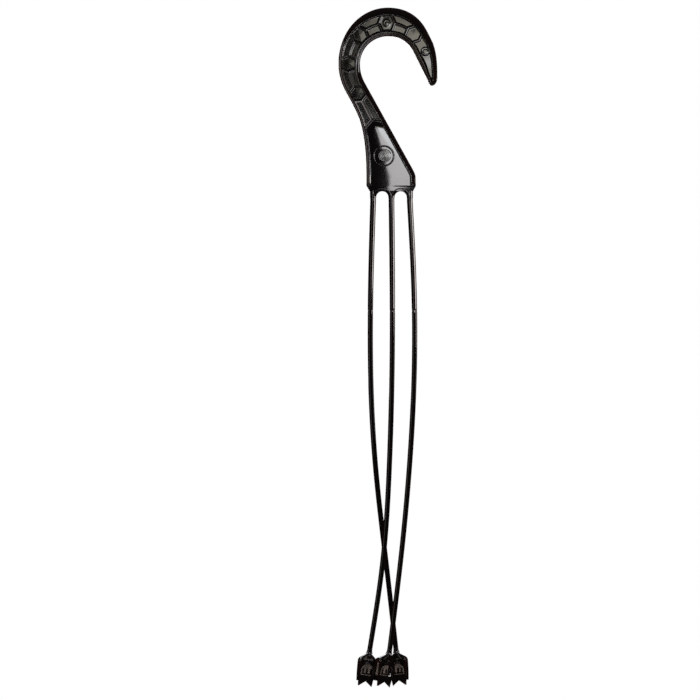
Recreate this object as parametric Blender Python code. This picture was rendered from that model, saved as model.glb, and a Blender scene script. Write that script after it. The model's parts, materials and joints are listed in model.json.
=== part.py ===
"""Hanging-pot hanger: a hook, a gusset plate and three flexible strands that end in snap clips.

Metres, +Z up, +X to the right, front towards -Y. The origin is the highest point of the hook's
inner edge, where a rail carries the hanger.
"""
from math import cos, pi, radians, sin, tan

import bmesh
import bpy
import numpy as np
from mathutils import Matrix, Vector

GAP = 0.0003  # clearance between pieces that meet

# Hook: a flat band with a thick rim on both edges and a thin web between them
HOOK_INNER_RADIUS = 0.0185
THROAT_RADIUS = 0.0253  # inner edge between the ring and the straight neck
NECK_SLANT = radians(29)
BEAK_SLANT = radians(26.6)
BEAK_LENGTH = 0.0215
BEAK_CAP_LENGTH = 0.0046
BEAK_CAP_SLANT = radians(9)
NECK_DROP = 0.0547  # from the origin down to the neck's lower end
WIDTH_AT_NECK = 0.0169
WIDTH_AT_THROAT = 0.0139
WIDTH_AT_SIDE = 0.0143
WIDTH_AT_TOP = 0.0188
WIDTH_AT_BEAK = 0.0142
WIDTH_AT_TIP = 0.0070
BAND_DEPTH = 0.0052
WEB_DEPTH = 0.0026
RIM_WIDTH = 0.0020
RIM_LARGEST_SHARE = 0.3  # of the band, where the beak gets narrow
BEAK_WEB_SHARE = 0.9  # share of the beak that still has a web
BEAK_CAP_TURNS = (0.25, 0.5, 0.7, 0.85)  # sections of the rounded end, in quarter turns

# Plate: the band widens into a gusset that carries the yoke
PLATE_HEIGHT = 0.0438
PLATE_LEFT = -0.0143
PLATE_RIGHT = 0.0183
PLATE_SOFTNESS = 0.0006  # rounding where the slanted right edge turns upright
MEDALLION_ACROSS = 0.456  # share of the plate's width at its height, from the left edge
MEDALLION_DROP = 0.0243  # below the plate's upper edge
MEDALLION_RADIUS = 0.0072
MEDALLION_HEIGHT = 0.0009
MEDALLION_PROFILE = (  # shares of the radius and of the height
    (1.0, 0), (1.0, 0.8), (0.95, 1.0), (0.87, 1.0), (0.82, 0.45), (0.76, 0.45), (0.72, 0.8),
)

# Yoke: three legs joined by two round arches
LEG_CENTRE_X = 0.0022
LEG_PITCH = 0.0121
LEG_WIDTH = 0.0042
YOKE_DEPTH = 0.0040
YOKE_HEIGHT = 0.0079
YOKE_CROWN = 0.0035  # material above each arch
YOKE_SHOULDER = 0.0036  # height of the slanted outer corners

# Strands: a bevelled bar, then a round rod
STRAND_LENGTH = 0.2943  # height between a strand's root pivot and its neck pivot
BAR_SHARE = 0.245  # share of that height that is a bevelled bar
BAR_WIDTH = 0.0039
BAR_DEPTH = 0.0038
BAR_END_WIDTH = 0.0036
BAR_CORNER_SHARE = 0.27  # cut off each long edge, of the shorter side
ROUND_TOP_TURNS = (0.9, 0.7, 0.45, 0.22)  # sections of a rounded upper end, in quarter turns
ROD_RADIUS = 0.00175
ROD_END_RADIUS = 0.00160
BAR_STEPS = 9
ROD_STEPS = 26
ROD_SIDES = 12

# Clip: a neck, an inverted U that sits on the pot's rim, and a sprung comb in its window
NECK_RADIUS = 0.00165
NECK_FOOT_RADIUS = 0.0019
NECK_LENGTH = 0.0036
NECK_WAIST_DROP = 0.6  # share of the neck above its flare
NECK_WAIST_SHARE = 0.2  # share of the widening done by then
CLIP_HEIGHT = 0.0216
CLIP_WIDTH = 0.0118
CLIP_FOOT_WIDTH = 0.0092
CLIP_WALL = 0.0013
CLIP_CORNER = 0.0007  # cut off each upright corner
NECK_SETBACK = 0.0032  # from the middle of the rim slot to the neck, towards the front
RIM_SLOT = 0.0060  # room between the two walls for the pot's rim
SEAT_DROP = 0.0064  # from the top of the clip to the seat on the rim
SHOULDER_DROP = 0.0044
ROOF_DROP_SHARE = 0.35  # a section between the neck and the shoulder
ROOF_WIDTH_SHARE = 0.58
ROOF_DEPTH_SHARE = 0.60
ROOF_SETBACK_SHARE = 0.45
FOOT_TAPER = ((0.3, 0.9), (0.6, 0.6))  # share of the way down, share of the taper left
SEAT_SOFTNESS = 0.0005
NOTCH_HEIGHT = 0.0033
NOTCH_SPREAD = 1.12  # of the foot's width, so that the notch runs out past its corners
BACK_WALL_SHORTER = 0.0028
WINDOW_WIDTH = 0.0080
WINDOW_SILL_DROP = 0.0142
WINDOW_SPRING_DROP = 0.0106
WINDOW_CROWN_DROP = 0.0073
COMB_CLEARANCE = 0.0005
COMB_THICKNESS = 0.0008
COMB_RAIL_HEIGHT = 0.0011
COMB_FINGER_HEIGHT = 0.0036
COMB_FINGER_WIDTH = 0.0011
COMB_FINGERS = 3
COMB_PITCH_SHARE = 0.86  # of the pitch that would set the outer fingers at the rail's ends
COMB_LEAN = radians(4)

# Each strand: its leg, where its foot hangs (clip widths to the right, clip depths to the back),
# how far it bows sideways at each fifth of its length, and how its clip leans and turns
STRANDS = {
    "left": {
        "leg": -1,
        "foot": (0.4322, 0.8140),
        "bow": (-0.0046, -0.0075, -0.0072, -0.0037),
        "lean": radians(-6),
        "turn": radians(-13),
    },
    "middle": {
        "leg": 0,
        "foot": (-1.0085, -0.1395),
        "bow": (0.0034, 0.0059, 0.0070, 0.0058),
        "lean": radians(8),
        "turn": radians(9),
    },
    "right": {
        "leg": 1,
        "foot": (0.0932, -0.9302),
        "bow": (0.0054, 0.0080, 0.0075, 0.0046),
        "lean": radians(10),
        "turn": radians(24),
    },
}


def clear_scene():
    for thing in list(bpy.data.objects):
        bpy.data.objects.remove(thing, do_unlink=True)


def gloss_plastic(name, roughness):
    """A near-black moulded plastic."""
    material = bpy.data.materials.new(name)
    material.use_nodes = True
    shader = material.node_tree.nodes["Principled BSDF"]
    shader.inputs["Base Color"].default_value = (0.012, 0.010, 0.010, 1)
    shader.inputs["Roughness"].default_value = roughness
    shader.inputs["Metallic"].default_value = 0.0
    return material


def add_object(name, mesh, material, parent=None, matrix=None):
    thing = bpy.data.objects.new(name, mesh)
    bpy.context.scene.collection.objects.link(thing)
    if material is not None:
        mesh.materials.append(material)
    if parent is not None:
        thing.parent = parent
    if matrix is not None:
        thing.matrix_local = matrix
    return thing


def add_empty(name, matrix):
    empty = bpy.data.objects.new(name, None)
    bpy.context.scene.collection.objects.link(empty)
    empty.matrix_world = matrix
    return empty


def loft(name, rings, smooth=False):
    """A closed body through a row of loops that have the same number of points."""
    count = len(rings[0])
    shape = bmesh.new()
    rows = [[shape.verts.new(point) for point in ring] for ring in rings]
    for lower, upper in zip(rows, rows[1:]):
        for i in range(count):
            j = (i + 1) % count
            shape.faces.new((lower[i], lower[j], upper[j], upper[i]))
    shape.faces.new(rows[0])
    shape.faces.new(rows[-1])
    bmesh.ops.recalc_face_normals(shape, faces=shape.faces)
    mesh = bpy.data.meshes.new(name)
    shape.to_mesh(mesh)
    shape.free()
    if smooth:
        mesh.shade_smooth()
        mesh.set_sharp_from_angle(angle=radians(40))
    return mesh


def prism(name, outline, start, end, along="Y"):
    """An outline pushed from start to end along Y (outline in X, Z) or along X (outline in Y, Z)."""
    if along == "Y":
        rings = [[(x, reach, z) for x, z in outline] for reach in (start, end)]
    else:
        rings = [[(reach, y, z) for y, z in outline] for reach in (start, end)]
    return loft(name, rings)


def rail_section(left, right, web_share):
    """The twelve corners of an I section between two edge points in the XZ plane."""
    left, right = np.array(left), np.array(right)
    across = (right - left) / np.linalg.norm(right - left)
    rim = across * min(RIM_WIDTH, RIM_LARGEST_SHARE * np.linalg.norm(right - left))
    half = BAND_DEPTH / 2
    web = half + (WEB_DEPTH / 2 - half) * web_share
    places = (
        (left, -half), (left + rim, -half), (left + rim, -web), (right - rim, -web),
        (right - rim, -half), (right, -half), (right, half), (right - rim, half),
        (right - rim, web), (left + rim, web), (left + rim, half), (left, half),
    )
    return [(point[0], y, point[1]) for point, y in places]


def slanted(angle):
    """The unit direction that leans by angle from straight down towards +X."""
    return np.array((sin(angle), -cos(angle)))


def hook_neck(u):
    """Inner edge of the straight neck and its direction across, from the plate up (u 0 to 1)."""
    top = np.array((-HOOK_INNER_RADIUS + THROAT_RADIUS * (1 - cos(NECK_SLANT)),
                    -HOOK_INNER_RADIUS - THROAT_RADIUS * sin(NECK_SLANT)))
    length = (NECK_DROP + top[1]) / cos(NECK_SLANT)
    edge = top + slanted(NECK_SLANT) * length * (1 - u)
    turn = NECK_SLANT * sin(u * pi / 2)
    width = WIDTH_AT_THROAT + (WIDTH_AT_NECK - WIDTH_AT_THROAT) * (1 - u) ** 3
    return edge, np.array((-cos(turn), -sin(turn))), width


def hook_throat(u):
    """The wide curve that turns the neck upright."""
    angle = NECK_SLANT * (1 - u)
    across = np.array((-cos(angle), -sin(angle)))
    centre = np.array((THROAT_RADIUS - HOOK_INNER_RADIUS, -HOOK_INNER_RADIUS))
    width = WIDTH_AT_THROAT + (WIDTH_AT_SIDE - WIDTH_AT_THROAT) * u
    return centre + across * THROAT_RADIUS, across, width


def hook_ring(angle):
    """The round inner edge; the angle runs from -90 degrees at the side over 0 at the top."""
    across = np.array((sin(angle), cos(angle)))
    edge = np.array((0, -HOOK_INNER_RADIUS)) + across * HOOK_INNER_RADIUS
    if angle < 0:
        width = WIDTH_AT_SIDE + (WIDTH_AT_TOP - WIDTH_AT_SIDE) * cos(angle) ** 2
    else:
        late = (angle / (pi / 2 - BEAK_SLANT)) ** 1.5
        width = WIDTH_AT_TOP + (WIDTH_AT_BEAK - WIDTH_AT_TOP) * (1 - cos(pi * late)) / 2
    return edge, across, width


def hook_beak(u):
    """The straight, tapering beak."""
    across = np.array((cos(BEAK_SLANT), sin(BEAK_SLANT)))
    start = hook_ring(pi / 2 - BEAK_SLANT)[0]
    edge = start + slanted(BEAK_SLANT) * BEAK_LENGTH * u
    return edge, across, WIDTH_AT_BEAK + (WIDTH_AT_TIP - WIDTH_AT_BEAK) * u ** 1.6


def hook_cap(angle):
    """The rounded end of the beak, half an oval."""
    edge, across, width = hook_beak(1)
    middle = edge + across * width / 2 + slanted(BEAK_CAP_SLANT) * BEAK_CAP_LENGTH * sin(angle)
    return middle - across * width / 2 * cos(angle), across, width * cos(angle)


def hook_sections():
    stations = [hook_neck(u) + (1,) for u in np.linspace(0, 1, 7)[:-1]]
    stations += [hook_throat(u) + (1,) for u in np.linspace(0, 1, 6)[:-1]]
    stations += [hook_ring(a) + (1,) for a in np.linspace(-pi / 2, pi / 2 - BEAK_SLANT, 31)[:-1]]
    stations += [hook_beak(u) + (1,) for u in np.linspace(0, BEAK_WEB_SHARE, 7)]
    stations += [hook_beak(1) + (0,)]
    stations += [hook_cap(a) + (0,) for a in radians(90) * np.array(BEAK_CAP_TURNS)]
    return [rail_section(edge + across * width, edge, web) for edge, across, width, web in stations]


def plate_left(share):
    """X of the plate's left edge at a share of its height from the top down."""
    start = hook_neck(0)[0][0] - WIDTH_AT_NECK
    return PLATE_LEFT + (start - PLATE_LEFT) * (1 - share) ** 3


def plate_right(share):
    """X of the plate's right edge: the neck's slant, rounded into the upright lower edge."""
    slant = hook_neck(0)[0][0] + PLATE_HEIGHT * share * tan(NECK_SLANT)
    return PLATE_RIGHT - PLATE_SOFTNESS * np.logaddexp(0, (PLATE_RIGHT - slant) / PLATE_SOFTNESS)


def plate_sections():
    top = -NECK_DROP - GAP
    rings = []
    for share in np.linspace(0, 1, 15):
        z = top - (PLATE_HEIGHT - GAP) * share
        rings.append(rail_section((plate_left(share), z), (plate_right(share), z), 1))
    return rings


def medallion_sections():
    """A low disc with a raised ring round it, turned about Y."""
    share = MEDALLION_DROP / PLATE_HEIGHT
    x = plate_left(share) + (plate_right(share) - plate_left(share)) * MEDALLION_ACROSS
    z = -NECK_DROP - MEDALLION_DROP
    front = -WEB_DEPTH / 2 - GAP
    turns = np.linspace(0, 2 * pi, 37)[:-1]
    rings = []
    for radius, height in MEDALLION_PROFILE:
        y = front - MEDALLION_HEIGHT * height
        rings.append([(x + MEDALLION_RADIUS * radius * cos(t), y,
                       z + MEDALLION_RADIUS * radius * sin(t)) for t in turns])
    return rings


def leg_x(leg):
    return LEG_CENTRE_X + LEG_PITCH * leg


def yoke_top():
    return -NECK_DROP - PLATE_HEIGHT - GAP


def yoke_outline():
    """Three legs under one bar; the two gaps have round heads."""
    top = yoke_top()
    bottom = top - YOKE_HEIGHT
    arch = (LEG_PITCH - LEG_WIDTH) / 2
    left, right = leg_x(-1) - LEG_WIDTH / 2, leg_x(1) + LEG_WIDTH / 2
    outline = [(left, bottom), (left, top - YOKE_SHOULDER), (plate_left(1), top)]
    outline += [(plate_right(1), top), (right, top - YOKE_SHOULDER), (right, bottom)]
    for side in (0.5, -0.5):
        middle = LEG_CENTRE_X + LEG_PITCH * side
        outline.append((middle + arch, bottom))
        for turn in np.linspace(0, pi, 11):
            outline.append((middle + arch * cos(turn), top - YOKE_CROWN - arch * (1 - sin(turn))))
        outline.append((middle - arch, bottom))
    return outline


def root_pivot(strand):
    """Where a strand bends at its leg: the centre of its rounded upper end."""
    return Vector((leg_x(strand["leg"]), 0, yoke_top() - YOKE_HEIGHT - GAP - BAR_DEPTH / 2))


def clip_depth():
    return RIM_SLOT + 2 * CLIP_WALL


def neck_pivot(strand):
    """Where a strand ends and its neck bends."""
    right, back = strand["foot"]
    return Vector((right * CLIP_WIDTH, back * clip_depth(), root_pivot(strand).z - STRAND_LENGTH))


def centre_line(strand, shares):
    """Points of the strand's middle line: a straight chord plus a smooth sideways bow."""
    knots = np.linspace(0, 1, len(strand["bow"]) + 2)
    bows = np.array((0, *strand["bow"], 0))
    start, end = np.array(root_pivot(strand)), np.array(neck_pivot(strand))
    points = start + (end - start) * np.array(shares)[:, None]
    points[:, 0] += natural_spline(knots, bows, shares)
    return points


def natural_spline(knots, values, places):
    """A cubic curve through the values with no bending at its two ends."""
    step = knots[1] - knots[0]
    inner = len(knots) - 2
    system = 4 * np.eye(inner) + np.eye(inner, k=1) + np.eye(inner, k=-1)
    jumps = 6 * (values[:-2] - 2 * values[1:-1] + values[2:]) / step ** 2
    bends = np.concatenate(([0], np.linalg.solve(system, jumps), [0]))
    cell = np.clip((np.array(places) / step).astype(int), 0, len(knots) - 2)
    right = np.array(places) / step - cell
    left = 1 - right
    line = values[cell] * left + values[cell + 1] * right
    curve = bends[cell] * (left ** 3 - left) + bends[cell + 1] * (right ** 3 - right)
    return line + curve * step ** 2 / 6


def across_line(points):
    """For each point the two unit directions across the line: sideways, and front to back."""
    along = np.gradient(points, axis=0)
    along /= np.linalg.norm(along, axis=1)[:, None]
    side = np.cross(along, (0, 1, 0))
    side /= np.linalg.norm(side, axis=1)[:, None]
    return side, np.cross(side, along)


def bar_corners(width, depth, cut=None):
    """A rectangle with its four corners cut off, in proportion to its shorter side unless told."""
    cut = cut or BAR_CORNER_SHARE * min(width, depth)
    x, y = width / 2, depth / 2
    return [(x, cut - y), (x, y - cut), (x - cut, y), (cut - x, y),
            (-x, y - cut), (-x, cut - y), (cut - x, -y), (x - cut, -y)]


def bar_sections(strand):
    """The upper part of a strand, rounded over at its root, relative to its pivot."""
    end_share = BAR_SHARE - GAP / STRAND_LENGTH
    shares = np.linspace(0, end_share, BAR_STEPS + 1)
    points = centre_line(strand, shares) - np.array(root_pivot(strand))
    side, back = across_line(points)
    rings = []
    for angle in radians(90) * np.array(ROUND_TOP_TURNS):
        lift = np.array((0, 0, BAR_DEPTH / 2 * sin(angle)))
        corners = bar_corners(BAR_WIDTH * cos(angle), BAR_DEPTH * cos(angle))
        rings.append([lift + side[0] * x + back[0] * y for x, y in corners])
    for i, share in enumerate(shares):
        width = BAR_WIDTH + (BAR_END_WIDTH - BAR_WIDTH) * share / end_share
        corners = bar_corners(width, BAR_DEPTH + (BAR_END_WIDTH - BAR_DEPTH) * share / end_share)
        rings.append([points[i] + side[i] * x + back[i] * y for x, y in corners])
    return rings


def rod_sections(strand):
    """The lower, round part of a strand, relative to its root pivot."""
    end_share = 1 - (NECK_RADIUS + GAP) / STRAND_LENGTH
    shares = np.linspace(BAR_SHARE, end_share, ROD_STEPS + 1)
    points = centre_line(strand, shares) - np.array(root_pivot(strand))
    side, back = across_line(points)
    turns = np.linspace(0, 2 * pi, ROD_SIDES + 1)[:-1]
    rings = []
    for i in range(len(points)):
        radius = ROD_RADIUS + (ROD_END_RADIUS - ROD_RADIUS) * i / ROD_STEPS
        rings.append([points[i] + radius * (side[i] * cos(t) + back[i] * sin(t)) for t in turns])
    return rings


def neck_sections():
    """A short stem with a rounded top that flares into the clip; its pivot is the origin."""
    rings = []
    turns = np.linspace(0, 2 * pi, ROD_SIDES + 1)[:-1]
    bends = radians(90) * np.array((*ROUND_TOP_TURNS, 0))
    levels = [(NECK_RADIUS * cos(a), NECK_RADIUS * sin(a)) for a in bends]
    waist = NECK_RADIUS + NECK_WAIST_SHARE * (NECK_FOOT_RADIUS - NECK_RADIUS)
    levels += [(waist, -NECK_WAIST_DROP * NECK_LENGTH), (NECK_FOOT_RADIUS, -NECK_LENGTH)]
    for radius, height in levels:
        rings.append([(radius * cos(t), radius * sin(t), height) for t in turns])
    return rings


def shell_sections():
    """Outer form of the clip from its top, a small square, down to its foot."""
    depth = clip_depth()
    lower = CLIP_HEIGHT - SHOULDER_DROP
    levels = [
        (2 * NECK_FOOT_RADIUS, 2 * NECK_FOOT_RADIUS, -NECK_SETBACK, 0),
        (ROOF_WIDTH_SHARE * CLIP_WIDTH, ROOF_DEPTH_SHARE * depth,
         -ROOF_SETBACK_SHARE * NECK_SETBACK, -ROOF_DROP_SHARE * SHOULDER_DROP),
        (CLIP_WIDTH, depth, 0, -SHOULDER_DROP),
    ]
    for down, left in (*FOOT_TAPER, (1, 0)):
        width = CLIP_FOOT_WIDTH + left * (CLIP_WIDTH - CLIP_FOOT_WIDTH)
        levels.append((width, depth, 0, -SHOULDER_DROP - down * lower))
    return [[(x, y + middle, z) for x, y in bar_corners(width, deep, CLIP_CORNER)]
            for width, deep, middle, z in levels]


def slot_outline():
    """Side view of the room for the pot's rim, with a flat seat at its top."""
    half, low = RIM_SLOT / 2, -2 * CLIP_HEIGHT
    soft = SEAT_SOFTNESS
    return [(-half, low), (-half, -SEAT_DROP - soft), (-half + soft, -SEAT_DROP),
            (half - soft, -SEAT_DROP), (half, -SEAT_DROP - soft), (half, low)]


def window_outline():
    """Arched window through the front wall."""
    half = WINDOW_WIDTH / 2
    rise = WINDOW_SPRING_DROP - WINDOW_CROWN_DROP
    outline = [(-half, -WINDOW_SILL_DROP), (half, -WINDOW_SILL_DROP)]
    for turn in np.linspace(0, pi, 13):
        outline.append((half * cos(turn), -WINDOW_SPRING_DROP + rise * sin(turn)))
    return outline


def notch_outline():
    """The V between the front wall's two points."""
    spread = CLIP_FOOT_WIDTH / 2 * NOTCH_SPREAD
    slope = NOTCH_HEIGHT / (CLIP_FOOT_WIDTH / 2)
    top = -CLIP_HEIGHT + NOTCH_HEIGHT
    return [(0, top), (-spread, top - slope * spread), (spread, top - slope * spread)]


def comb_outline():
    """A rail with upright fingers, with its pivot at the middle of the rail."""
    half = WINDOW_WIDTH / 2 - COMB_CLEARANCE
    low, high = -COMB_RAIL_HEIGHT / 2, COMB_RAIL_HEIGHT / 2
    pitch = (2 * half - COMB_FINGER_WIDTH) / (COMB_FINGERS - 1) * COMB_PITCH_SHARE
    outline = [(-half, low), (half, low), (half, high)]
    for i in reversed(range(COMB_FINGERS)):
        middle = pitch * (i - (COMB_FINGERS - 1) / 2)
        tip = high + COMB_FINGER_HEIGHT
        outline += [(middle + COMB_FINGER_WIDTH / 2, high),
                    (middle + COMB_FINGER_WIDTH / 2, tip - COMB_FINGER_WIDTH / 2),
                    (middle, tip),
                    (middle - COMB_FINGER_WIDTH / 2, tip - COMB_FINGER_WIDTH / 2),
                    (middle - COMB_FINGER_WIDTH / 2, high)]
    return outline + [(-half, high)]


def clip_frame(strand):
    """World placement of a clip's top, over the middle of its rim slot.

    The clip turns about its neck, which stands forward of that middle.
    """
    lean = Matrix.Rotation(strand["lean"], 4, "Y")
    turn = Matrix.Rotation(strand["turn"], 4, "Z")
    drop = Matrix.Translation((0, 0, -NECK_LENGTH - GAP))
    setback = Matrix.Translation((0, NECK_SETBACK, 0))
    return Matrix.Translation(neck_pivot(strand)) @ lean @ drop @ turn @ setback


def comb_frame():
    """Placement of the comb in its clip: on the sill of the front window, leaning inwards."""
    height = -WINDOW_SILL_DROP + GAP + COMB_RAIL_HEIGHT / 2
    place = Matrix.Translation((0, -(RIM_SLOT + CLIP_WALL) / 2, height))
    return place @ Matrix.Rotation(-COMB_LEAN, 4, "X")


def add_cutter(shell, mesh, parent):
    cutter = add_object(mesh.name, mesh, None, parent)
    cutter.hide_render = True
    cutter.display_type = "WIRE"
    cut = shell.modifiers.new(mesh.name, "BOOLEAN")
    cut.operation = "DIFFERENCE"
    cut.solver = "EXACT"
    cut.object = cutter


def add_clip(name, strand, materials):
    """One clip: its shell with slot, window and notch, and its comb."""
    empty = add_empty(f"{name}_clip_top", clip_frame(strand))
    shell = add_object(f"{name}_clip_shell", loft("shell", shell_sections()), materials["clip"], empty)
    reach = CLIP_WIDTH
    add_cutter(shell, prism(f"{name}_slot", slot_outline(), -reach, reach, "X"), empty)
    add_cutter(shell, prism(f"{name}_window", window_outline(), -reach, 0), empty)
    add_cutter(shell, prism(f"{name}_notch", notch_outline(), -reach, 0), empty)
    low, high = -2 * CLIP_HEIGHT, -CLIP_HEIGHT + BACK_WALL_SHORTER
    foot = [(-reach, low), (reach, low), (reach, high), (-reach, high)]
    add_cutter(shell, prism(f"{name}_back_foot", foot, 0, reach), empty)
    comb = prism("comb", comb_outline(), -COMB_THICKNESS / 2, COMB_THICKNESS / 2)
    add_object(f"{name}_latch_comb", comb, materials["latch"], empty, comb_frame())


def add_strand(name, strand, materials):
    pivot = Matrix.Translation(root_pivot(strand))
    bar = loft("bar", bar_sections(strand))
    add_object(f"{name}_strand_bar", bar, materials["strand"], matrix=pivot)
    rod = loft("rod", rod_sections(strand), smooth=True)
    add_object(f"{name}_strand_rod", rod, materials["strand"], matrix=pivot)
    lean = Matrix.Translation(neck_pivot(strand)) @ Matrix.Rotation(strand["lean"], 4, "Y")
    neck = loft("neck", neck_sections(), smooth=True)
    add_object(f"{name}_neck", neck, materials["neck"], matrix=lean)
    add_clip(name, strand, materials)


def build():
    clear_scene()
    names = ("hook", "plate", "medallion", "yoke", "strand", "neck", "clip", "latch")
    materials = {name: gloss_plastic(f"{name}_plastic", 0.18) for name in names}
    add_object("hook", loft("hook", hook_sections()), materials["hook"])
    add_object("plate", loft("plate", plate_sections()), materials["plate"])
    add_object("medallion", loft("medallion", medallion_sections()), materials["medallion"])
    yoke = prism("yoke", yoke_outline(), -YOKE_DEPTH / 2, YOKE_DEPTH / 2)
    add_object("yoke", yoke, materials["yoke"])
    for name, strand in STRANDS.items():
        add_strand(name, strand, materials)


build()
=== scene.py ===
import json

import bpy
import numpy as np
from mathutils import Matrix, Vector


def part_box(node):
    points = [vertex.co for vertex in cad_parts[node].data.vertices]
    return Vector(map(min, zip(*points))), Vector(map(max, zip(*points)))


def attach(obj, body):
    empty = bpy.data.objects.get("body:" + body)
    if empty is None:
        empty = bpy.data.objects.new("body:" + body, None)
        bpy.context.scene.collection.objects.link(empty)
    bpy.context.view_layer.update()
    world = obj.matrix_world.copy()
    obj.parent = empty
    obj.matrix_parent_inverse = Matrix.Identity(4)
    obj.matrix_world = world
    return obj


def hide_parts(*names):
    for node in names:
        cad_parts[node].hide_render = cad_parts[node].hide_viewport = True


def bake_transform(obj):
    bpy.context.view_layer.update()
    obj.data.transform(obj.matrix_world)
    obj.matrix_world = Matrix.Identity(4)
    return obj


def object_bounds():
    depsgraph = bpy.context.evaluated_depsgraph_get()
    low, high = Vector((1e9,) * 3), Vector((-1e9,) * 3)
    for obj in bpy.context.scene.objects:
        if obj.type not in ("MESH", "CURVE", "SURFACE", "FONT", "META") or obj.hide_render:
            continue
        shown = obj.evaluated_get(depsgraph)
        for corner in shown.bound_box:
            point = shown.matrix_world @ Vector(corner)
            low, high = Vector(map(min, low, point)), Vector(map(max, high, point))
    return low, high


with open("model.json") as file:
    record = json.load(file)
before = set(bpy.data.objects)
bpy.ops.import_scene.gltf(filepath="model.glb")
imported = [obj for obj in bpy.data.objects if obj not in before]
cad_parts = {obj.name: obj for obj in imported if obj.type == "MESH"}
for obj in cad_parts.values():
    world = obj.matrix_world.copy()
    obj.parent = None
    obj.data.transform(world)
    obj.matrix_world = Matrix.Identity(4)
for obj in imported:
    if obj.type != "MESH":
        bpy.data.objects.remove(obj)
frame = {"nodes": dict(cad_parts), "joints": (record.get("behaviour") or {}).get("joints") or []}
cadLow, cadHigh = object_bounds()

mm = 0.001
joints = {joint["name"]: joint for joint in frame["joints"]}
boxes = {name: [np.array(corner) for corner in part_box(name)] for name in frame["nodes"]}
print("frame loaded:", len(boxes), "nodes")


plasticLook = {
    "black": (0.0028, 0.0024, 0.0024),
    "warm": (0.0060, 0.0036, 0.0032),  # the lighter patches of the cloudy tone
    # painted light: a warm reddish tint on thin borders, standing in for warm reflections and for light
    # shining through the thin plastic
    "edge": (0.0300, 0.0080, 0.0060),
    "cloudSize": 260.0,
    "roughLow": 0.045,
    "roughHigh": 0.105,
    "flowSize": 900.0,
    "flowHeight": 0.0000025,
    "grainSize": 5200.0,
    "grainHeight": 0.0000003,
    "dustSize": 2600.0,
    "dustShare": 0.6,  # how much the dust roughens a recess
    # recess colour: dust on the hook and plate; the clips replace it with a light beige that is a
    # painted reflection
    "dustAndPaintedGlow": (0.0050, 0.0045, 0.0042),
    # painted highlight: the pale colour of the lines painted along the cells' outlines
    "paintedGlint": (0.62, 0.59, 0.57),
}


def addNode(tree, kind, **values):
    node = tree.nodes.new(kind)
    for key, value in values.items():
        if hasattr(node, key):
            setattr(node, key, value)
        else:
            node.inputs[key].default_value = value
    return node


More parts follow.
